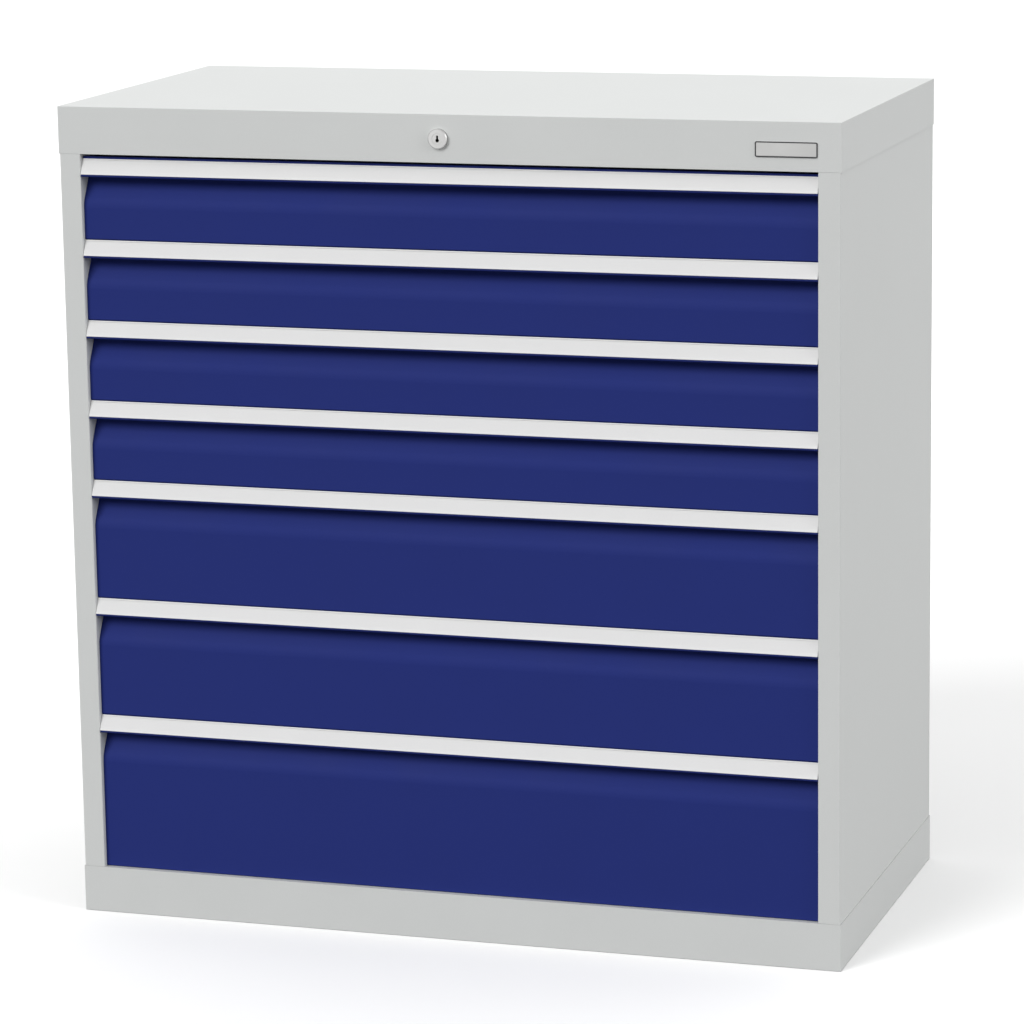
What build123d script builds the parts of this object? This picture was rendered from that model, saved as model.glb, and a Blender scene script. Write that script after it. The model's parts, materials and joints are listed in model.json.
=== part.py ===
from build123d import *
import os
from math import cos, radians, sin

# Floor-standing workshop cabinet: a folded sheet carcass, drawers on telescopic runners, one central lock.
# Millimetres, +Z up, the front faces -Y, and the origin is on the floor in the middle of the footprint.

# Overall sizes
cabinet_width = 980.0
cabinet_depth = 500.0
cap_height = 58.0
plinth_height = 57.9
stile_width = 28.0

# Drawer modules, the height that each drawer takes up in the opening
low_module = 100.0
middle_module = 150.0
tall_module = 200.0
modules_from_top = [low_module] * 4 + [middle_module] * 2 + [tall_module]
cap_gap = 1.0
plinth_gap = 2.1

# Carcass sheets
skin_sheet = 1.2
skin_edge_radius = 0.5
panel_sheet = 1.0
panel_bend = 0.3
seam_gap = 0.2
stile_return = 30.0
rear_flange = 25.0
plinth_flange = 25.0
band_lip = 18.0
band_lip_clearance = 0.5
floor_flange = 20.0
floor_clearance = 0.5

# Slotted posts that carry the runners
post_sheet = 1.5
post_width = 36.0
post_foot = 12.0
post_setback = 3.0
slot_pitch = 50.0
slot_width = 5.0
slot_height = 14.0

# Telescopic runners: cabinet member, middle member and drawer member, nested in each other
runner_depth = 12.7
runner_height = 45.0
runner_sheet = 1.2
runner_gap = 0.4
runner_lip = 5.0
runner_to_tray = 2.7
runner_clearance = 1.0
runner_seat = 8.0
runner_end_gap = 4.0
hook_width = 4.0
hook_height = 8.0
hook_drop = 3.0
hook_sheet = 2.5
hook_clearance = 0.4

# Drawer trays
tray_sheet = 1.0
tray_hem = 8.0
tray_floor_gap = 6.0
tray_top_room = 24.0
lock_space = 52.0

# Drawer fronts: depths are behind the cap's front face, drops are below the top of the module
front_sheet = 1.0
front_side_gap = 0.4
front_top_drop = 4.9
front_reach = 4.4
front_clearance = 0.4
front_bend = 0.3
nose_depth = -1.0
nose_drop = 26.8
nose_width = 4.0
lean_depth = 8.8
pull_roof_drop = 16.0
pull_roof_depth = 9.0
pull_depth = 22.0
pull_back_drop = 32.0
face_depth = 6.4
shoulder_drop = 59.0
roof_front_bend = 3.0
roof_back_bend = 5.0
scoop_bend = 10.0
shoulder_bend = 24.0

# Grip strips with their label strips
strip_drop = 5.6
strip_width = 20.3
strip_height = 1.8
strip_sheet = 0.6
strip_lip = 1.5
label_thickness = 0.5
label_clearance = 0.1

# Lock
rosette_diameter = 24.0
rosette_height = 5.0
rosette_chamfer = 1.0
barrel_diameter = 18.8
barrel_length = 24.0
barrel_clearance = 0.2
plug_diameter = 13.0
plug_clearance = 0.1
plug_recess = 0.4
plug_tail = 3.0
keyway_width = 2.4
keyway_length = 8.0
keyway_head = 4.4
keyway_depth = 15.0
nut_across_corners = 28.0
nut_thickness = 4.0

# Lock shaft and its bracket
shaft_diameter = 8.0
shaft_clearance = 0.1
bracket_sheet = 2.0
bracket_width = 30.0
bracket_foot = 22.0
bracket_drop = 10.0
bracket_bend = 1.0
bracket_setback = 40.0
crank_thickness = 4.0
crank_boss_diameter = 14.0
crank_pin_diameter = 4.0
crank_pin_tail = 2.0
crank_gap = 1.0
crank_rest_angle = 45.0

# Lock bar behind the trays, and the catch on each tray
lock_travel = 12.0
bar_width = 32.0
bar_sheet = 2.0
bar_end_margin = 6.0
bar_slot_clearance = 0.6
catch_rise = 45.0
catch_depth = 20.0
catch_width = 30.0
catch_sheet = 1.5
catch_clearance = 2.0
catch_to_bar = 7.0
hook_finger_width = 16.0
hook_finger_setback = 8.0
guide_rise = 8.0
guide_pin_diameter = 6.0
guide_collar_across_corners = 10.0
guide_head_across_corners = 12.0
guide_head_height = 2.0
guide_clearance = 0.4

# Plate on the cap's front band
badge_length = 74.6
badge_height = 18.2
badge_thickness = 0.8
badge_corner_radius = 2.0
badge_inset = 28.4
badge_rise = 25.4

# Extra length of every cut beyond the piece that it goes through
overrun = 5.0

# Planes and places that several pieces share
half_width = cabinet_width / 2
front_plane = -cabinet_depth / 2
back_plane = cabinet_depth / 2
opening_half = half_width - stile_width
drawers_top = plinth_height + plinth_gap + sum(modules_from_top)
cap_bottom = drawers_top + cap_gap
cabinet_height = cap_bottom + cap_height
cover_underside = cabinet_height - skin_sheet
lock_height = cap_bottom + cap_height / 2
carcass_half = half_width - skin_sheet
carcass_front = front_plane + skin_sheet
carcass_back = back_plane - skin_sheet
panel_inside = carcass_half - panel_sheet
back_inside = carcass_back - panel_sheet
runner_plane = opening_half - runner_clearance
tray_half = runner_plane - runner_depth
tray_front = front_plane + pull_depth + front_sheet
tray_rear = back_inside - lock_space
runner_front = carcass_front + stile_return + post_setback
front_half = opening_half - front_side_gap
bar_front = tray_rear + catch_depth + catch_to_bar
bar_rear = bar_front + bar_sheet
crank_radius = lock_travel / (2 * sin(radians(crank_rest_angle)))


def module_bottoms():
    """The bottom of each drawer's module, from the top drawer down."""
    bottoms = []
    top = drawers_top
    for height in modules_from_top:
        top -= height
        bottoms.append(top)
    return bottoms


def block(x, y, z):
    """A straight-sided block between the two ends given along each axis."""
    middle = [(low + high) / 2 for low, high in (x, y, z)]
    return Pos(*middle) * Box(x[1] - x[0], y[1] - y[0], z[1] - z[0])


def centred(size, middle=0):
    """The two ends of a size laid evenly about a middle."""
    return (middle - size / 2, middle + size / 2)


def along_x(section, start, end):
    """A section drawn in Y and Z, drawn out from one X to another."""
    return extrude(Pos(start, 0, 0) * (Plane.YZ * section), amount=end - start, dir=(1, 0, 0))


def along_y(section, start, end):
    """A section drawn in X and Z, drawn out from one Y to another."""
    return extrude(Pos(0, start, 0) * (Plane.XZ * section), amount=end - start, dir=(0, 1, 0))


def along_z(section, start, end):
    """A section drawn in X and Y, drawn out from one Z to another."""
    return extrude(Pos(0, 0, start) * section, amount=end - start, dir=(0, 0, 1))


def fold_line(points, bends, sheet, side):
    """One face of a folded sheet: lines through the points, with each corner at its inside bend radius."""
    radii = []
    for before, corner, after, bend in zip(points, points[1:], points[2:], bends):
        turn = (Vector(*corner) - Vector(*before)).cross(Vector(*after) - Vector(*corner)).Z
        sheet_is_inside = (turn > 0) == (side == Side.LEFT)
        radii.append(bend + sheet if sheet_is_inside else bend)
    return FilletPolyline(*points, radius=radii)


def folded(points, bends, sheet, side):
    """The section of a folded sheet: one face on the points, the other a sheet's thickness aside."""
    return make_face(offset(fold_line(points, bends, sheet, side), amount=sheet, side=side))


def creased(points, sheet, side):
    """The section of a folded sheet with sharp corners, for the pieces that repeat most."""
    return make_face(offset(Polyline(*points), amount=sheet, side=side, kind=Kind.INTERSECTION))


def equal_bends(points, bend):
    """The same inside radius at every corner of a folded sheet."""
    return [bend] * (len(points) - 2)


def lock_circle(diameter):
    """A circle on the lock's axis, drawn in X and Z."""
    return Pos(0, lock_height) * Circle(diameter / 2)


def both_sides(right):
    """A right-hand piece and its mirror image on the left."""
    return [right, mirror(right, about=Plane.YZ)]


def footprint_block(bottom, top):
    """A block on the cabinet's whole footprint, with rounded upright edges."""
    body = block(centred(cabinet_width), centred(cabinet_depth), (bottom, top))
    return fillet(body.edges().filter_by(Axis.Z), skin_edge_radius)


def band_lip_block(bottom):
    """The lip behind the lower or upper edge of a front band, between the stiles."""
    width = 2 * (opening_half - band_lip_clearance)
    return block(centred(width), (carcass_front, carcass_front + band_lip), (bottom, bottom + skin_sheet))


def top_cover():
    cover = footprint_block(cap_bottom, cabinet_height)
    cover = fillet(cover.faces().sort_by(Axis.Z)[-1].edges(), skin_edge_radius)
    inside = (carcass_front, carcass_back)
    cover -= block(centred(2 * carcass_half), inside, (cap_bottom - overrun, cover_underside))
    cover += band_lip_block(cap_bottom)
    hole = lock_circle(barrel_diameter + 2 * barrel_clearance)
    return cover - along_y(hole, front_plane - overrun, carcass_front + overrun)


def plinth_base():
    base = footprint_block(0, plinth_height)
    inside = (carcass_front, carcass_back)
    base -= block(centred(2 * carcass_half), inside, (skin_sheet, plinth_height + overrun))
    base -= block(
        centred(2 * (carcass_half - plinth_flange)),
        (carcass_front + plinth_flange, carcass_back - plinth_flange),
        (-overrun, skin_sheet + overrun),
    )
    return base + band_lip_block(plinth_height - skin_sheet)


def right_side_panel():
    """A folded side whose stile is flush with the front bands, and cut back where it goes in behind them."""
    points = [
        (opening_half, carcass_front + stile_return),
        (opening_half, front_plane),
        (carcass_half, front_plane),
        (carcass_half, back_inside),
        (carcass_half - rear_flange, back_inside),
    ]
    section = folded(points, equal_bends(points, panel_bend), panel_sheet, Side.LEFT)
    panel = along_z(section, skin_sheet, cover_underside)
    stile = (front_plane - overrun, carcass_front)
    for band in ((0, plinth_height + seam_gap), (cap_bottom - seam_gap, cabinet_height)):
        panel -= block((opening_half - overrun, half_width), stile, band)
    return panel


def back_panel():
    return block(centred(2 * carcass_half), (back_inside, carcass_back), (skin_sheet, cover_underside))


def floor_panel():
    """A pan turned upside down, which lies flush behind the lip of the plinth's front band."""
    width = 2 * (runner_plane - floor_clearance)
    front = carcass_front + band_lip
    underside = plinth_height - panel_sheet
    lowest = underside - floor_flange
    floor = block(centred(width), (front, back_inside), (lowest, plinth_height))
    inside = (front + panel_sheet, back_inside - panel_sheet)
    return floor - block(centred(width - 2 * panel_sheet), inside, (lowest - overrun, underside))


def post_places():
    """The middle of the front post and of the rear post along Y."""
    half = post_width / 2 + post_sheet + post_foot
    return [runner_front + half, tray_rear - half]


def runner_middles():
    """The height of the middle of each drawer's runners."""
    return [bottom + tray_floor_gap + runner_seat + runner_height / 2 for bottom in module_bottoms()]


def slot_bottoms():
    """The lower end of every slot in a post: one at each runner, and more above it within its module."""
    first_drop = hook_height / 2 + hook_clearance
    bottoms = []
    for middle, module in zip(runner_middles(), modules_from_top):
        for step in range(int(module // slot_pitch)):
            bottoms.append(middle - first_drop + step * slot_pitch)
    return bottoms


def right_runner_posts():
    web = runner_plane + post_sheet
    half = post_width / 2
    points = [
        (panel_inside, -half - post_foot),
        (panel_inside, -half),
        (web, -half),
        (web, half),
        (panel_inside, half),
        (panel_inside, half + post_foot),
    ]
    section = creased(points, post_sheet, Side.LEFT)
    post = along_z(section, skin_sheet, cover_underside)
    for bottom in slot_bottoms():
        through = (runner_plane - overrun, web + overrun)
        post -= block(through, centred(slot_width), (bottom, bottom + slot_height))
    return Compound([Pos(0, place, 0) * post for place in post_places()])


def channel_section(outer, inner, half_height, middle):
    """A runner channel with turned-in lips, open towards the drawer, from its outer to its inner face."""
    points = [
        (inner, middle + half_height - runner_lip),
        (inner, middle + half_height),
        (outer, middle + half_height),
        (outer, middle - half_height),
        (inner, middle - half_height),
        (inner, middle - half_height + runner_lip),
    ]
    return creased(points, runner_sheet, Side.RIGHT)


# The nested channels' faces, from the post to the drawer, and their half heights
cabinet_lip_face = runner_plane - runner_depth + runner_to_tray
middle_web_face = runner_plane - runner_sheet - runner_gap
middle_lip_face = cabinet_lip_face + runner_sheet + runner_gap
drawer_flange_face = middle_lip_face + runner_sheet + runner_gap
cabinet_half_height = runner_height / 2
middle_half_height = cabinet_half_height - runner_sheet - runner_gap
drawer_half_height = middle_half_height - runner_sheet - runner_gap
drawer_hat_half = middle_half_height - runner_lip - runner_gap


def runner_hook(place, middle):
    """The hook that goes through a post's slot and drops behind its web."""
    behind = runner_plane + post_sheet + hook_clearance
    tip = behind + hook_sheet
    width = centred(hook_width, place)
    low, high = centred(hook_height, middle)
    shank = block((runner_plane - runner_sheet, tip), width, (low, high))
    tooth = block((behind, tip), width, (low - hook_drop, high))
    return shank + tooth


def right_cabinet_runners():
    runners = []
    for middle in runner_middles():
        section = channel_section(runner_plane, cabinet_lip_face, cabinet_half_height, middle)
        runner = along_y(section, runner_front, tray_rear)
        for place in post_places():
            runner += runner_hook(place, middle)
        runners.append(runner)
    return Compound(runners)


def middle_runners(middle):
    section = channel_section(middle_web_face, middle_lip_face, middle_half_height, middle)
    return Compound(both_sides(along_y(section, runner_front, tray_rear - runner_end_gap)))


def drawer_runners(middle):
    points = [
        (drawer_flange_face, middle + drawer_half_height),
        (drawer_flange_face, middle + drawer_hat_half),
        (tray_half, middle + drawer_hat_half),
        (tray_half, middle - drawer_hat_half),
        (drawer_flange_face, middle - drawer_hat_half),
        (drawer_flange_face, middle - drawer_half_height),
    ]
    section = creased(points, runner_sheet, Side.LEFT)
    return Compound(both_sides(along_y(section, runner_front, tray_rear - runner_end_gap)))


def catch_underside(bottom):
    """The underside of a tray's catch, which the lock bar's hook comes up to."""
    return bottom + tray_floor_gap + catch_rise


def tray_catch(underside):
    """The folded catch on a tray's rear: a shelf, and a lip that hangs as deep as the lock bar lifts."""
    rear = tray_rear + catch_depth
    top = underside + catch_sheet
    shelf = block(centred(catch_width), (tray_rear, rear), (underside, top))
    return shelf + block(centred(catch_width), (rear - catch_sheet, rear), (underside - lock_travel, top))


def tray(bottom, module):
    """An open tray with a turned-in hem round its mouth."""
    low = bottom + tray_floor_gap
    top = bottom + module - tray_top_room
    shell = block(centred(2 * tray_half), (tray_front, tray_rear), (low, top))
    inside = 2 * (tray_half - tray_sheet)
    inside_front, inside_rear = tray_front + tray_sheet, tray_rear - tray_sheet
    shell -= block(centred(inside), (inside_front, inside_rear), (low + tray_sheet, top - tray_sheet))
    mouth = (inside_front + tray_hem, inside_rear - tray_hem)
    shell -= block(centred(inside - 2 * tray_hem), mouth, (low + tray_sheet, top + overrun))
    return shell + tray_catch(catch_underside(bottom))


def front_lower_edge(bottom):
    """The lower edge of a front: it reaches down to the next drawer's strip, or stops above the plinth."""
    return max(bottom - front_reach, plinth_height + front_clearance)


def front_points(bottom, module):
    """The visible face of a drawer front from the rear of its top fold to the rear of its bottom fold."""
    top = bottom + module
    low = front_lower_edge(bottom)
    rear = front_plane + pull_depth + front_sheet
    nose = front_plane + nose_depth
    return [
        (rear, top - front_top_drop),
        (nose + lean_depth, top - front_top_drop),
        (nose, top - nose_drop),
        (nose + nose_width, top - nose_drop),
        (front_plane + pull_roof_depth, top - pull_roof_drop),
        (front_plane + pull_depth, top - pull_roof_drop),
        (front_plane + pull_depth, top - pull_back_drop),
        (front_plane + face_depth, top - shoulder_drop),
        (front_plane + face_depth, low),
        (rear, low),
    ]


def drawer_front(bottom, module):
    """A folded front: leaning strip seat, nose, finger pull scooped out behind it, flat face and ends."""
    points = front_points(bottom, module)
    pull_bends = [roof_front_bend, roof_back_bend, scoop_bend, shoulder_bend]
    bends = [front_bend, front_bend, front_bend] + pull_bends + [front_bend]
    front = along_x(folded(points, bends, front_sheet, Side.LEFT), -front_half, front_half)
    face_line = fold_line(points, bends, front_sheet, Side.LEFT)
    end = make_face(face_line.edges() + [Line(points[-1], points[0])])
    front += along_x(end, -front_half, front_sheet - front_half)
    return front + along_x(end, front_half - front_sheet, front_half)


def strip_frame(bottom, module):
    """The grip strip's leaning seat as a plane in Y and Z: its X runs down the seat, its Y out of it."""
    points = front_points(bottom, module)
    start, nose = Vector(*points[1]), Vector(*points[2])
    down = (nose - start).normalized()
    seat = start + down * ((strip_drop - front_top_drop) / -down.Y)
    return Plane(origin=seat, x_dir=down, z_dir=(0, 0, -1))


def grip_strip(bottom, module):
    points = [
        (strip_lip, strip_height),
        (0, strip_height),
        (0, 0),
        (strip_width, 0),
        (strip_width, strip_height),
        (strip_width - strip_lip, strip_height),
    ]
    section = creased(points, strip_sheet, Side.LEFT)
    return along_x(strip_frame(bottom, module) * section, -front_half, front_half)


def label_strip(bottom, module):
    length = strip_width - 2 * (strip_sheet + label_clearance)
    section = Pos(strip_width / 2, strip_sheet + label_thickness / 2) * Rectangle(length, label_thickness)
    return along_x(strip_frame(bottom, module) * section, -front_half, front_half)


barrel_rear = carcass_front + barrel_length
plug_rear = barrel_rear + plug_tail
rosette_face = front_plane - rosette_height
crank_rear = bar_front - crank_gap
crank_front = crank_rear - crank_thickness
bracket_rear = crank_front - bracket_setback


def lock_housing():
    rosette = along_y(lock_circle(rosette_diameter), rosette_face, front_plane)
    rosette = chamfer(rosette.faces().sort_by(Axis.Y)[0].edges(), rosette_chamfer)
    barrel = along_y(lock_circle(barrel_diameter), front_plane, barrel_rear)
    bore = lock_circle(plug_diameter + 2 * plug_clearance)
    return rosette + barrel - along_y(bore, rosette_face - overrun, barrel_rear + overrun)


def lock_nut():
    nut = Pos(0, lock_height) * RegularPolygon(nut_across_corners / 2, 6)
    nut -= lock_circle(barrel_diameter + 2 * barrel_clearance)
    return along_y(nut, carcass_front, carcass_front + nut_thickness)


def lock_plug():
    face = rosette_face + plug_recess
    keyway = Pos(0, lock_height) * Rectangle(keyway_width, keyway_length)
    keyway += Pos(0, lock_height - (keyway_length - keyway_head) / 2) * Circle(keyway_head / 2)
    plug = along_y(lock_circle(plug_diameter), face, plug_rear)
    return plug - along_y(keyway, face - overrun, face + keyway_depth)


def crank_pin_place():
    """The crank's pin at rest, below and to the left of the shaft, so that a clockwise turn lifts it."""
    angle = radians(crank_rest_angle)
    return -crank_radius * cos(angle), lock_height - crank_radius * sin(angle)


def lock_shaft():
    shaft = along_y(lock_circle(shaft_diameter), plug_rear, crank_rear)
    arm = Rot(0, 0, crank_rest_angle) * SlotCenterToCenter(crank_radius, crank_boss_diameter)
    pin_x, pin_z = crank_pin_place()
    arm = Pos(pin_x / 2, (lock_height + pin_z) / 2) * arm
    pin = Pos(pin_x, pin_z) * Circle(crank_pin_diameter / 2)
    shaft += along_y(arm, crank_front, crank_rear)
    return shaft + along_y(pin, crank_rear, bar_rear + crank_pin_tail)


def lock_shaft_bracket():
    points = [
        (bracket_rear - bracket_foot, cover_underside),
        (bracket_rear, cover_underside),
        (bracket_rear, lock_height - bracket_drop),
    ]
    section = folded(points, equal_bends(points, bracket_bend), bracket_sheet, Side.RIGHT)
    bracket = along_x(section, *centred(bracket_width))
    hole = lock_circle(shaft_diameter + 2 * shaft_clearance)
    return bracket - along_y(hole, bracket_rear - bracket_foot, bracket_rear + overrun)


def guide_places():
    """The heights of the lock bar's guide pins, one in every second module."""
    return [bottom + guide_rise for bottom in module_bottoms()[1::2]]


def lock_bar_hook(bottom):
    """A hook that lies below the catch at rest and stands in front of its lip when the bar is lifted."""
    rest_top = catch_underside(bottom) - lock_travel - catch_clearance
    arm_top = rest_top - lock_travel
    finger_front = tray_rear + hook_finger_setback
    width = centred(hook_finger_width)
    arm = block(width, (finger_front, bar_front), (arm_top - bar_sheet, arm_top))
    finger = block(width, (finger_front, finger_front + bar_sheet), (arm_top - bar_sheet, rest_top))
    return arm + finger


def lock_bar():
    pin_x, pin_z = crank_pin_place()
    pin_slot = crank_pin_diameter + 2 * bar_slot_clearance
    slot_low, slot_high = centred(pin_slot, pin_z)
    lowest_hook = lock_bar_hook(module_bottoms()[-1]).bounding_box().min.Z
    ends = (lowest_hook - bar_end_margin, slot_high + bar_end_margin)
    bar = block(centred(bar_width), (bar_front, bar_rear), ends)
    through = (bar_front - overrun, bar_rear + overrun)
    bar -= block((-crank_radius - pin_slot / 2, pin_x + pin_slot / 2), through, (slot_low, slot_high))
    guide_slot = guide_pin_diameter + 2 * guide_clearance
    for place in guide_places():
        low, high = centred(guide_slot, place)
        bar -= block(centred(guide_slot), through, (low - lock_travel, high))
    for bottom in module_bottoms():
        bar += lock_bar_hook(bottom)
    return bar


def lock_bar_guides():
    pin_front = bar_front - guide_clearance
    collar_front = bar_rear + guide_clearance
    guides = []
    for place in guide_places():
        centre = Pos(0, place)
        head = centre * RegularPolygon(guide_head_across_corners / 2, 6)
        head = along_y(head, pin_front - guide_head_height, pin_front)
        pin = along_y(centre * Circle(guide_pin_diameter / 2), pin_front, collar_front)
        collar = centre * RegularPolygon(guide_collar_across_corners / 2, 6)
        collar = along_y(collar, collar_front, back_inside)
        guides.append(head + pin + collar)
    return Compound(guides)


def badge_plate():
    outline = RectangleRounded(badge_length, badge_height, badge_corner_radius)
    place = Pos(half_width - badge_inset - badge_length / 2, cap_bottom + badge_rise)
    return along_y(place * outline, front_plane - badge_thickness, front_plane)


def save(node, shape):
    export_step(shape, os.path.join("parts", node + ".step"))


def save_both(name, right):
    """A right-hand piece and its left-hand mirror image, each under its own name."""
    save("right_" + name, right)
    save("left_" + name, mirror(right, about=Plane.YZ))


os.makedirs("parts", exist_ok=True)

save("top_cover", top_cover())
save("plinth_base", plinth_base())
save("back_panel", back_panel())
save("floor_panel", floor_panel())
save_both("side_panel", right_side_panel())
save_both("runner_posts", right_runner_posts())
save_both("cabinet_runners", right_cabinet_runners())

for number, (low, height) in enumerate(zip(module_bottoms(), modules_from_top), start=1):
    drawer = "drawer_" + str(number) + "_"
    runner_middle = runner_middles()[number - 1]
    save(drawer + "tray", tray(low, height))
    save(drawer + "front", drawer_front(low, height))
    save(drawer + "grip_strip", grip_strip(low, height))
    save(drawer + "label_strip", label_strip(low, height))
    save(drawer + "runners", drawer_runners(runner_middle))
    save(drawer + "middle_runners", middle_runners(runner_middle))

save("lock_housing", lock_housing())
save("lock_nut", lock_nut())
save("lock_plug", lock_plug())
save("lock_shaft", lock_shaft())
save("lock_shaft_bracket", lock_shaft_bracket())
save("lock_bar", lock_bar())
save("lock_bar_guides", lock_bar_guides())
save("badge_plate", badge_plate())
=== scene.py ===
"""Looks of the multi-drawer cabinet, dressed around its solids. Lengths are in metres."""
import json
from math import cos, pi, radians, sin

import bmesh
import bpy
from mathutils import Matrix, Vector


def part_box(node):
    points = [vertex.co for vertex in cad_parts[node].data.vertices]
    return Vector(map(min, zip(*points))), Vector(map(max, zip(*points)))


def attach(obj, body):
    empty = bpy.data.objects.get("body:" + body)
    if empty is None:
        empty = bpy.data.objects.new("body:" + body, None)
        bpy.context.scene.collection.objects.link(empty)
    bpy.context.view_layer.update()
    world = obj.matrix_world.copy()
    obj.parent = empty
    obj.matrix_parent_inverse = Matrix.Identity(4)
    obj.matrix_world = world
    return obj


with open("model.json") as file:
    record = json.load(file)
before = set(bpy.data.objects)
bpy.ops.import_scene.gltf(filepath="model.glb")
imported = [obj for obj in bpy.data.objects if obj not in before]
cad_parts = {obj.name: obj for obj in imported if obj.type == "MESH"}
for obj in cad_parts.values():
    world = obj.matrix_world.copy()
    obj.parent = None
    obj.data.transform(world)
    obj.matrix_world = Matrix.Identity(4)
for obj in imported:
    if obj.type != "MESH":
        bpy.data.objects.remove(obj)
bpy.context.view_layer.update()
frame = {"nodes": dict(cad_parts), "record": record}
scene = bpy.context.scene
scene.view_settings.view_transform = "Standard"

# Camera, at the photograph's viewing angle. Its focal length is in pixels of the square image
CAMERA_PLACE = Vector((1.6217, -5.0002, 1.5734))
CAMERA_YAW = radians(17.928)
CAMERA_PITCH = radians(11.670)
CAMERA_ROLL = radians(-0.845)
FOCAL_PIXELS = 4246.9
IMAGE_PIXELS = 1024
SENSOR_WIDTH = 36

# Studio light: a sky that is brighter overhead and behind, a broad lamp from the front left
# and one from the right. The sky shows white
SKY_LOWEST = 0.62
SKY_HIGHEST = 1.00
SKY_SHOWN = 1
SKY_COLOUR = (1, 1, 1)
SKY_BRIGHT_SIDE = Vector((0, 0.5, 0.866))
KEY_FROM = Vector((-0.40, -0.76, 0.51))
KEY_STRENGTH = 1.88
KEY_SPREAD = radians(30)
FILL_FROM = Vector((0.95, -0.10, 0.30))
FILL_STRENGTH = 1.23
FILL_SPREAD = radians(40)

# Floor, with the colour that it shows and the darker one that it throws light back with
FLOOR_HALF = 40
FLOOR_DROP = 0.0005
FLOOR_COLOUR = (0.95, 0.95, 0.95)
FLOOR_BOUNCE = (0.10, 0.10, 0.10)
FLOOR_SWING = 0.01
FLOOR_ROUGH = 0.9
FLOOR_GLOSS = 0

# Paints: linear colour, gloss, roughness and how far specks and clouds change the colour
GREY_COAT = {"colour": (0.610, 0.622, 0.616), "gloss": 0.25, "rough": 0.6, "swing": 0.03}
BLUE_COAT = {"colour": (0.0159, 0.0270, 0.164), "gloss": 0.1, "rough": 0.68, "swing": 0.06}
STRIP_COAT = {"colour": (0.660, 0.660, 0.660), "gloss": 0.3, "rough": 0.45, "swing": 0.015}
RIM_COAT = {"colour": (0.035, 0.035, 0.037), "gloss": 0.3, "rough": 0.5, "swing": 0.08}

# Metals: linear colour, least and most roughness, size of the grain, how far it is drawn out
# along each axis, and how far it changes the colour
ZINC = {"colour": (0.60, 0.61, 0.63), "low": 0.28, "high": 0.42,
        "grain": 0.0009, "stretch": (1, 12, 1), "swing": 0.04}
NICKEL = {"colour": (0.47, 0.47, 0.465), "low": 0.36, "high": 0.46,
          "grain": 0.0005, "stretch": (1, 1, 1), "swing": 0.03}
PLATE_METAL = {"colour": (0.40, 0.40, 0.395), "low": 0.4, "high": 0.5,
               "grain": 0.0004, "stretch": (20, 1, 1), "swing": 0.04}

# Label card
LABEL_COLOUR = (0.660, 0.660, 0.660)
LABEL_GLOSS = 0.25
LABEL_ROUGH_LOW = 0.55
LABEL_ROUGH_HIGH = 0.68
LABEL_SWING = 0.02
FIBRE_STRETCH = (4, 1, 1)

# Noise: the part of its range that counts, its detail, its sizes, the share of the broad clouds
# in a colour, and how far it raises the surface
NOISE_LOW = 0.3
NOISE_HIGH = 0.7
PLAIN_DETAIL = 1
SOFT_DETAIL = 2
FULL_DETAIL = 3
PEEL_SIZE = 0.0016
SPECK_SIZE = 0.0007
FIBRE_SIZE = 0.0008
PAINT_CLOUD_SIZE = 0.09
METAL_CLOUD_SIZE = 0.03
LABEL_CLOUD_SIZE = 0.05
FLOOR_CLOUD_SIZE = 0.4
PAINT_CLOUD_SHARE = 0.35
METAL_CLOUD_SHARE = 0.5
LABEL_CLOUD_SHARE = 0.4
PAINT_ROUGH_SWING = 0.04
PEEL_DEPTH = 0.00003
GRAIN_DEPTH = 0.000008
FIBRE_DEPTH = 0.00001
BUMP_STRENGTH = 1

# Painted shade on the plinth's upper edge, where the side panel meets it: the share of the paint's
# colour left there, and how far below the edge's height it reaches
SEAM_SHADE_SHARE = 0.78
SEAM_SHADE_DEPTH = 0.0004

# Painted shade inside the lock's keyway: the dark colour that the plug's metal turns to, and how
# far behind the plug's face it starts and takes to turn dark
KEYWAY_PAINTED_SHADE = (0.012, 0.012, 0.012)
KEYWAY_SHADE_START = 0.0006
KEYWAY_SHADE_FADE = 0.0012

# Width of the rounded edges of folded sheet, by material slot, and how they are found and cut
SOFT_EDGE_WIDTHS = {"zinc_steel": 0.0004, "tray_paint": 0.0004, "grip_aluminium": 0.0002}
SOFT_EDGE_STEPS = 2
SOFT_EDGE_ANGLE = radians(40)
FLAT_ANGLE = radians(0.5)
WELD_GAP = 0.000001

# Blind rivets that hold the drawer members of the runners to the trays, and the back to the
# sides. The profile gives a head's radii and rises
TRAY_WALL = 0.001
RIVET_END_MARGIN = 0.035
RIVETS_A_SIDE = 3
BACK_RIVET_MARGIN = 0.0125
BACK_RIVETS_A_SIDE = 7
RIVET_TURNS = 14
RIVET_PROFILE = [
    (0.0036, 0), (0.0035, 0.0004), (0.0028, 0.0009),
    (0.0018, 0.0011), (0.0012, 0.0010), (0.0010, 0.0004),
]

# Points along each quarter of a round corner
CORNER_STEPS = 8

# Raised edge of the first front: sheet that goes on up its strip's leaning seat from the fold
# behind the strip. The fold is measured from the front's back, the seat's run along Y and Z
FOLD_FROM_BACK = 0.0152
SEAT_RUN = Vector((0.0088, 0.0219))
LIP_FOOT = 0.0010
LIP_RISE = 0.0028
LIP_SHEET = 0.0010
LIP_PROUD = 0.00005
LIP_ROUND = 0.0004

# Badge rim
RIM_WIDTH = 0.0014
RIM_HEIGHT = 0.0003
RIM_CORNER = 0.0022


def new_material(name):
    """A material, its node tree, its shader and the surface's own coordinates in metres."""
    material = bpy.data.materials.new(name)
    material.use_nodes = True
    tree = material.node_tree
    place = tree.nodes.new("ShaderNodeTexCoord").outputs["Object"]
    return material, tree, tree.nodes["Principled BSDF"], place


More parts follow.
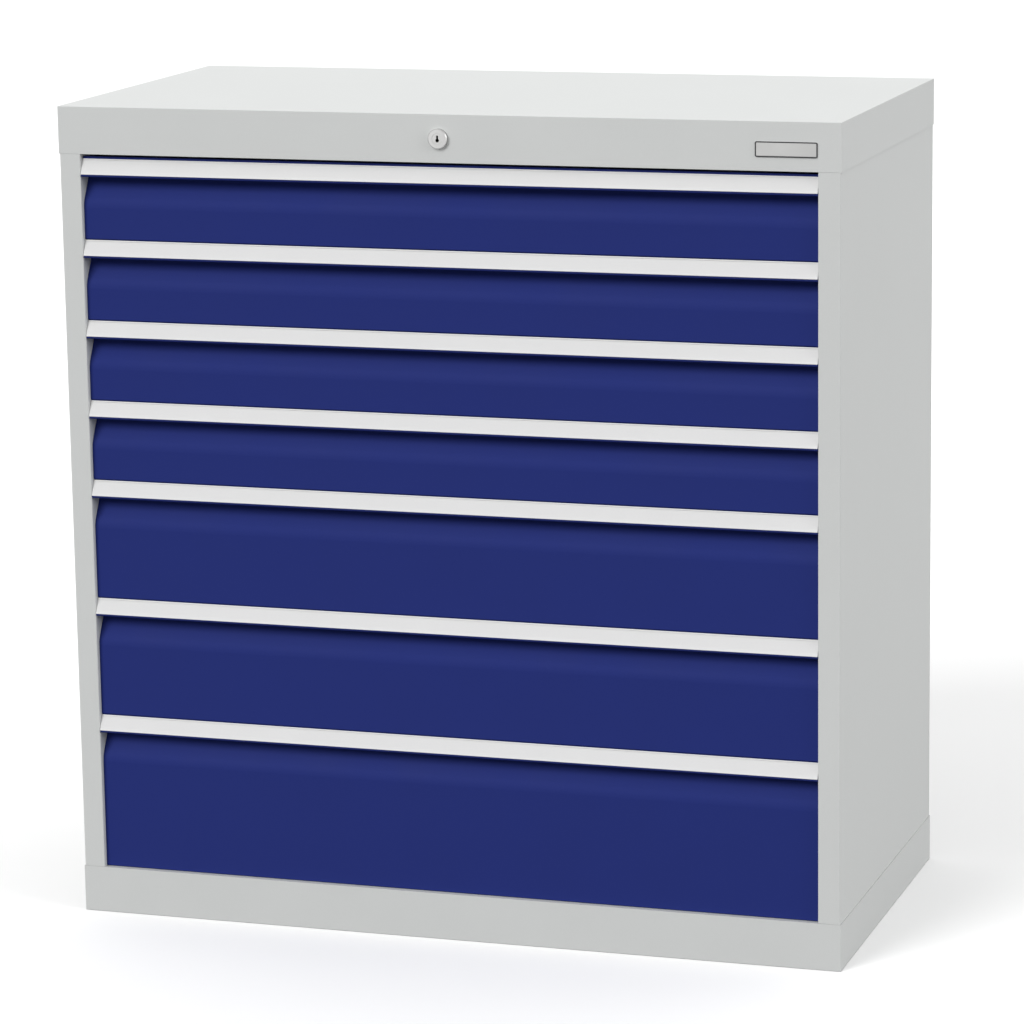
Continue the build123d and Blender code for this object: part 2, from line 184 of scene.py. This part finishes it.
def noise(tree, place, size, detail, stretch=(1, 1, 1)):
    """Noise whose grains are about size across, drawn out along each axis by stretch."""
    mapping = tree.nodes.new("ShaderNodeMapping")
    mapping.inputs["Scale"].default_value = [1 / (size * share) for share in stretch]
    tree.links.new(place, mapping.inputs["Vector"])
    texture = tree.nodes.new("ShaderNodeTexNoise")
    texture.inputs["Scale"].default_value = 1
    texture.inputs["Detail"].default_value = detail
    tree.links.new(mapping.outputs["Vector"], texture.inputs["Vector"])
    return texture.outputs["Fac"]


def mapped(tree, value, start, end, low, high):
    """A value from start to end, mapped to low and high and held there beyond its limits."""
    node = tree.nodes.new("ShaderNodeMapRange")
    node.inputs["From Min"].default_value = start
    node.inputs["From Max"].default_value = end
    node.inputs["To Min"].default_value = low
    node.inputs["To Max"].default_value = high
    tree.links.new(value, node.inputs["Value"])
    return node.outputs["Result"]


def spread(tree, value, low=0, high=1):
    """Noise around its middle, mapped to low and high."""
    return mapped(tree, value, NOISE_LOW, NOISE_HIGH, low, high)


def beyond(tree, place, axis, start, end):
    """0 up to start along an axis of the surface's own coordinates, 1 beyond end."""
    parts = tree.nodes.new("ShaderNodeSeparateXYZ")
    tree.links.new(place, parts.inputs["Vector"])
    return mapped(tree, parts.outputs[axis], start, end, 0, 1)


def clouded(tree, fine, cloud, share):
    """Fine noise and a broad cloud as one factor from 0 to 1, with share of the cloud."""
    node = tree.nodes.new("ShaderNodeMix")
    node.inputs["Factor"].default_value = share
    tree.links.new(spread(tree, fine), node.inputs["A"])
    tree.links.new(spread(tree, cloud), node.inputs["B"])
    return node.outputs["Result"]


def colour_mix(tree, factor):
    """A node that turns its colour A into its colour B by a factor from 0 to 1."""
    node = tree.nodes.new("ShaderNodeMix")
    node.data_type = "RGBA"
    tree.links.new(factor, node.inputs["Factor"])
    return node


def tinted(tree, factor, colour, swing):
    """The colour, made up to swing darker or lighter by a factor from 0 to 1."""
    node = colour_mix(tree, factor)
    node.inputs["A"].default_value = [c * (1 - swing) for c in colour] + [1]
    node.inputs["B"].default_value = [c * (1 + swing) for c in colour] + [1]
    return node.outputs["Result"]


def recoloured(tree, factor, first, second):
    """The first colour, another node's, turned into the second by a factor from 0 to 1."""
    node = colour_mix(tree, factor)
    tree.links.new(first, node.inputs["A"])
    node.inputs["B"].default_value = (*second, 1)
    return node.outputs["Result"]


def bumped(tree, shader, height, depth):
    """Raises the surface by height times depth."""
    node = tree.nodes.new("ShaderNodeBump")
    node.inputs["Strength"].default_value = BUMP_STRENGTH
    node.inputs["Distance"].default_value = depth
    tree.links.new(height, node.inputs["Height"])
    tree.links.new(node.outputs["Normal"], shader.inputs["Normal"])


def powder_coat(name, colour, gloss, rough, swing, seam_shade_top=None):
    """Baked powder paint: orange peel, specks and clouds, with painted shade darkening it in a thin
    band just under a given height.
    """
    material, tree, shader, place = new_material(name)
    peel = noise(tree, place, PEEL_SIZE, FULL_DETAIL)
    specks = noise(tree, place, SPECK_SIZE, PLAIN_DETAIL)
    cloud = noise(tree, place, PAINT_CLOUD_SIZE, FULL_DETAIL)
    paint = tinted(tree, clouded(tree, specks, cloud, PAINT_CLOUD_SHARE), colour, swing)
    if seam_shade_top is not None:
        # Painted shade: the paint turns darker in a thin band just under the given height, the
        # plinth's top edge
        edge = beyond(tree, place, "Z", seam_shade_top - SEAM_SHADE_DEPTH, seam_shade_top)
        paint = recoloured(tree, edge, paint, [c * SEAM_SHADE_SHARE for c in colour])
    tree.links.new(paint, shader.inputs["Base Color"])
    dullness = spread(tree, cloud, rough - PAINT_ROUGH_SWING, rough + PAINT_ROUGH_SWING)
    tree.links.new(dullness, shader.inputs["Roughness"])
    shader.inputs["Specular IOR Level"].default_value = gloss
    bumped(tree, shader, peel, PEEL_DEPTH)
    return material


def satin_metal(name, colour, low, high, grain, stretch, swing, keyway=None):
    """Bare or plated metal with a drawn-out grain, and painted shade that turns it dark behind a
    keyway's depth.
    """
    material, tree, shader, place = new_material(name)
    lines = noise(tree, place, grain, FULL_DETAIL, stretch)
    cloud = noise(tree, place, METAL_CLOUD_SIZE, FULL_DETAIL)
    factor = clouded(tree, lines, cloud, METAL_CLOUD_SHARE)
    metal = tinted(tree, factor, colour, swing)
    if keyway is not None:
        # Painted shade: the metal turns near-black behind the keyway's depth, where the hole lies
        # in shadow
        depth = beyond(tree, place, "Y", keyway, keyway + KEYWAY_SHADE_FADE)
        metal = recoloured(tree, depth, metal, KEYWAY_PAINTED_SHADE)
    tree.links.new(metal, shader.inputs["Base Color"])
    tree.links.new(spread(tree, factor, low, high), shader.inputs["Roughness"])
    shader.inputs["Metallic"].default_value = 1
    bumped(tree, shader, lines, GRAIN_DEPTH)
    return material


def card(name):
    """Matt card with a fine fibre."""
    material, tree, shader, place = new_material(name)
    fibre = noise(tree, place, FIBRE_SIZE, FULL_DETAIL, FIBRE_STRETCH)
    cloud = noise(tree, place, LABEL_CLOUD_SIZE, SOFT_DETAIL)
    factor = clouded(tree, fibre, cloud, LABEL_CLOUD_SHARE)
    tree.links.new(tinted(tree, factor, LABEL_COLOUR, LABEL_SWING), shader.inputs["Base Color"])
    dullness = spread(tree, fibre, LABEL_ROUGH_LOW, LABEL_ROUGH_HIGH)
    tree.links.new(dullness, shader.inputs["Roughness"])
    shader.inputs["Specular IOR Level"].default_value = LABEL_GLOSS
    bumped(tree, shader, fibre, FIBRE_DEPTH)
    return material


def seen_directly(tree):
    """1 for what is seen straight, in a mirror or through glass, 0 for light on matt surfaces."""
    path = tree.nodes.new("ShaderNodeLightPath")
    total = path.outputs["Is Camera Ray"]
    for name in ("Is Glossy Ray", "Is Transmission Ray"):
        either = tree.nodes.new("ShaderNodeMath")
        either.operation = "MAXIMUM"
        tree.links.new(total, either.inputs[0])
        tree.links.new(path.outputs[name], either.inputs[1])
        total = either.outputs[0]
    return total


def make_floor():
    """A pale floor that keeps the shadow and throws less light up than it shows."""
    mesh = bpy.data.meshes.new("studio_floor")
    signs = [(-1, -1), (1, -1), (1, 1), (-1, 1)]
    corners = [(x * FLOOR_HALF, y * FLOOR_HALF, -FLOOR_DROP) for x, y in signs]
    mesh.from_pydata(corners, [], [(0, 1, 2, 3)])
    floor = bpy.data.objects.new("studio_floor", mesh)
    scene.collection.objects.link(floor)
    material, tree, shader, place = new_material("pale_floor")
    cloud = noise(tree, place, FLOOR_CLOUD_SIZE, FULL_DETAIL)
    colour = colour_mix(tree, seen_directly(tree))
    colour.inputs["A"].default_value = (*FLOOR_BOUNCE, 1)
    tree.links.new(tinted(tree, cloud, FLOOR_COLOUR, FLOOR_SWING), colour.inputs["B"])
    tree.links.new(colour.outputs["Result"], shader.inputs["Base Color"])
    shader.inputs["Roughness"].default_value = FLOOR_ROUGH
    shader.inputs["Specular IOR Level"].default_value = FLOOR_GLOSS
    mesh.materials.append(material)


def make_lamp(name, direction, strength, breadth):
    """A broad distant lamp that shines from the direction given."""
    lamp = bpy.data.lights.new(name, "SUN")
    lamp.energy = strength
    lamp.angle = breadth
    holder = bpy.data.objects.new(name, lamp)
    holder.rotation_mode = "QUATERNION"
    holder.rotation_quaternion = direction.to_track_quat("Z", "Y")
    scene.collection.objects.link(holder)


def make_light():
    """A surround that shows white and lights more from its bright side, and the two lamps."""
    world = bpy.data.worlds.new("studio")
    scene.world = world
    world.use_nodes = True
    tree = world.node_tree
    towards = tree.nodes.new("ShaderNodeVectorMath")
    towards.operation = "DOT_PRODUCT"
    towards.inputs[1].default_value = SKY_BRIGHT_SIDE
    direction = tree.nodes.new("ShaderNodeTexCoord").outputs["Generated"]
    tree.links.new(direction, towards.inputs[0])
    level = tree.nodes.new("ShaderNodeMix")
    sky = mapped(tree, towards.outputs["Value"], 0, 1, SKY_LOWEST, SKY_HIGHEST)
    tree.links.new(sky, level.inputs["A"])
    level.inputs["B"].default_value = SKY_SHOWN
    tree.links.new(seen_directly(tree), level.inputs["Factor"])
    background = tree.nodes["Background"]
    tree.links.new(level.outputs["Result"], background.inputs["Strength"])
    background.inputs["Color"].default_value = (*SKY_COLOUR, 1)
    make_lamp("key_lamp", KEY_FROM, KEY_STRENGTH, KEY_SPREAD)
    make_lamp("fill_lamp", FILL_FROM, FILL_STRENGTH, FILL_SPREAD)


def make_camera():
    """The photograph's camera: yawed to the left, tipped down and rolled a little."""
    level_forward = Vector((-sin(CAMERA_YAW), cos(CAMERA_YAW), 0))
    forward = level_forward * cos(CAMERA_PITCH) - Vector((0, 0, sin(CAMERA_PITCH)))
    level_right = Vector((cos(CAMERA_YAW), sin(CAMERA_YAW), 0))
    level_up = level_right.cross(forward)
    right = level_right * cos(CAMERA_ROLL) + level_up * sin(CAMERA_ROLL)
    up = level_up * cos(CAMERA_ROLL) - level_right * sin(CAMERA_ROLL)
    turn = Matrix((right, up, -forward)).transposed().to_4x4()
    data = bpy.data.cameras.new("camera")
    data.sensor_width = SENSOR_WIDTH
    data.lens = SENSOR_WIDTH * FOCAL_PIXELS / IMAGE_PIXELS
    data.clip_end = 2 * FLOOR_HALF
    camera = bpy.data.objects.new("camera", data)
    camera.matrix_world = Matrix.Translation(CAMERA_PLACE) @ turn
    scene.collection.objects.link(camera)
    scene.camera = camera


def join_rings(shape, ring, after):
    """Adds the faces between two closed rings that have as many corners."""
    for here in range(len(ring)):
        there = (here + 1) % len(ring)
        shape.faces.new((ring[here], ring[there], after[there], after[here]))


def add_piece(name, shape, material, body):
    """Makes a built shape a piece that moves with a body and has a material slot."""
    bmesh.ops.recalc_face_normals(shape, faces=shape.faces)
    mesh = bpy.data.meshes.new(name)
    shape.to_mesh(mesh)
    shape.free()
    mesh.materials.append(material)
    piece = bpy.data.objects.new(name, mesh)
    scene.collection.objects.link(piece)
    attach(piece, body)


def rounded_outline(half_width, half_height, corner):
    """Points of a rectangle with round corners, about its own middle."""
    points = []
    for quarter in range(4):
        across = half_width - corner if quarter in (0, 3) else corner - half_width
        along = half_height - corner if quarter in (0, 1) else corner - half_height
        for step in range(CORNER_STEPS + 1):
            angle = (quarter + step / CORNER_STEPS) * pi / 2
            points.append((across + corner * cos(angle), along + corner * sin(angle)))
    return points


def badge_rim(material):
    """The dark raised border round the bare plate."""
    low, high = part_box("badge_plate")
    middle = (low + high) / 2
    half_width = (high.x - low.x) / 2
    half_height = (high.z - low.z) / 2
    shape = bmesh.new()
    rings = []
    for inset, rise in ((0, 0), (0, RIM_HEIGHT), (RIM_WIDTH, RIM_HEIGHT), (RIM_WIDTH, 0)):
        outline = rounded_outline(half_width - inset, half_height - inset, RIM_CORNER - inset)
        places = [(middle.x + x, low.y - rise, middle.z + z) for x, z in outline]
        rings.append([shape.verts.new(place) for place in places])
    for ring, after in zip(rings, rings[1:] + rings[:1]):
        join_rings(shape, ring, after)
    add_piece("badge_rim", shape, material, "cabinet")


def raised_edge(material):
    """The sheet edge that closes most of the gap between the first front and the cover."""
    low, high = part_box("drawer_1_front")
    fold = Vector((high.y - FOLD_FROM_BACK, high.z))
    up = SEAT_RUN.normalized()
    out = Vector((-up.y, up.x))
    back = LIP_PROUD - LIP_SHEET
    section = [(-LIP_FOOT, LIP_PROUD), (-LIP_FOOT, back)]
    for start, middle in ((pi, back + LIP_ROUND), (pi / 2, LIP_PROUD - LIP_ROUND)):
        for step in range(CORNER_STEPS + 1):
            angle = start - step / CORNER_STEPS * pi / 2
            rise = LIP_RISE - LIP_ROUND + LIP_ROUND * sin(angle)
            section.append((rise, middle + LIP_ROUND * cos(angle)))
    places = [fold + up * rise + out * depth for rise, depth in section]
    shape = bmesh.new()
    ends = []
    for x in (low.x, high.x):
        ends.append([shape.verts.new((x, place.x, place.y)) for place in places])
    join_rings(shape, *ends)
    for end in ends:
        shape.faces.new(end)
    add_piece("drawer_1_raised_edge", shape, material, "drawer_1")


def rivet_head(shape, foot, axis):
    """Adds a rivet head: rings of the profile's radii and rises about an axis from its foot."""
    across = axis.orthogonal().normalized()
    along = axis.cross(across)
    angles = [2 * pi * turn / RIVET_TURNS for turn in range(RIVET_TURNS)]
    ways = [across * cos(angle) + along * sin(angle) for angle in angles]
    rings = []
    for radius, rise in RIVET_PROFILE:
        middle = foot + axis * rise
        rings.append([shape.verts.new(middle + way * radius) for way in ways])
    for ring, after in zip(rings, rings[1:]):
        join_rings(shape, ring, after)
    shape.faces.new(rings[0])
    shape.faces.new(rings[-1])


def evenly(start, end, count):
    """Places from start to end, all equally far apart."""
    return [start + (end - start) * step / (count - 1) for step in range(count)]


def runner_feet(drawer):
    """Where rivets stand inside a tray's walls, along its runners' middle, and which way."""
    low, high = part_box(drawer + "_runners")
    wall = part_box(drawer + "_tray")[1].x - TRAY_WALL
    height = (low.z + high.z) / 2
    places = evenly(low.y + RIVET_END_MARGIN, high.y - RIVET_END_MARGIN, RIVETS_A_SIDE)
    return [
        (Vector((side * wall, y, height)), Vector((-side, 0, 0)))
        for side in (-1, 1) for y in places
    ]


def back_feet():
    """Where rivets stand along both edges of the back, clear of plinth and cover, and which way."""
    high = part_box("back_panel")[1]
    row = high.x - BACK_RIVET_MARGIN
    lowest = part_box("plinth_base")[1].z + RIVET_END_MARGIN
    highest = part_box("top_cover")[0].z - RIVET_END_MARGIN
    heights = evenly(lowest, highest, BACK_RIVETS_A_SIDE)
    return [
        (Vector((side * row, high.y, z)), Vector((0, 1, 0)))
        for side in (-1, 1) for z in heights
    ]


def rivets(name, feet, body, material):
    """Rows of rivet heads that move with a body."""
    shape = bmesh.new()
    for foot, axis in feet:
        rivet_head(shape, foot, axis)
    for face in shape.faces:
        face.smooth = True
    add_piece(name, shape, material, body)


def soften_edges(node, width):
    """Rounds the edges of a sheet part that has only flat faces."""
    if any(face.use_smooth for face in node.data.polygons):
        return
    weld = node.modifiers.new("weld", "WELD")
    weld.merge_threshold = WELD_GAP
    flat = node.modifiers.new("flat_faces", "DECIMATE")
    flat.decimate_type = "DISSOLVE"
    flat.angle_limit = FLAT_ANGLE
    bevel = node.modifiers.new("soft_edges", "BEVEL")
    bevel.width = width
    bevel.segments = SOFT_EDGE_STEPS
    bevel.limit_method = "ANGLE"
    bevel.angle_limit = SOFT_EDGE_ANGLE


def finish_nodes():
    """Gives each solid the finish that the record names, and adds the pieces that share one."""
    plinth_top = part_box("plinth_base")[1].z
    plug_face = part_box("lock_plug")[0].y
    finishes = {
        "grey_paint": powder_coat("grey_powder_coat", **GREY_COAT),
        "blue_paint": powder_coat("blue_powder_coat", **BLUE_COAT),
        "tray_paint": powder_coat("tray_powder_coat", **GREY_COAT),
        "grip_aluminium": powder_coat("strip_coat", **STRIP_COAT),
        "label_card": card("label_card"),
        "zinc_steel": satin_metal("zinc_plate", **ZINC),
        "nickel": satin_metal("satin_nickel", **NICKEL),
        "plate": satin_metal("plate_metal", **PLATE_METAL),
    }
    own_finishes = {
        # The plinth's paint carries painted shade along its upper edge
        "plinth_base": powder_coat("plinth_powder_coat", **GREY_COAT, seam_shade_top=plinth_top),
        # The plug's metal carries painted shade inside its keyway
        "lock_plug": satin_metal("plug_nickel", **NICKEL, keyway=plug_face + KEYWAY_SHADE_START),
    }
    for row in frame["record"]["subparts"]:
        node = frame["nodes"][row["node"]]
        slot = row["material_slot"]
        node.data.materials.clear()
        node.data.materials.append(own_finishes.get(row["node"], finishes[slot]))
        if slot in SOFT_EDGE_WIDTHS:
            soften_edges(node, SOFT_EDGE_WIDTHS[slot])
    for body in frame["record"]["behaviour"]["bodies"]:
        if body + "_tray" in frame["nodes"]:
            rivets(body + "_rivets", runner_feet(body), body, finishes["zinc_steel"])
    rivets("back_rivets", back_feet(), "cabinet", finishes["zinc_steel"])
    raised_edge(finishes["blue_paint"])


make_camera()
make_light()
make_floor()
finish_nodes()
badge_rim(powder_coat("rim_enamel", **RIM_COAT))
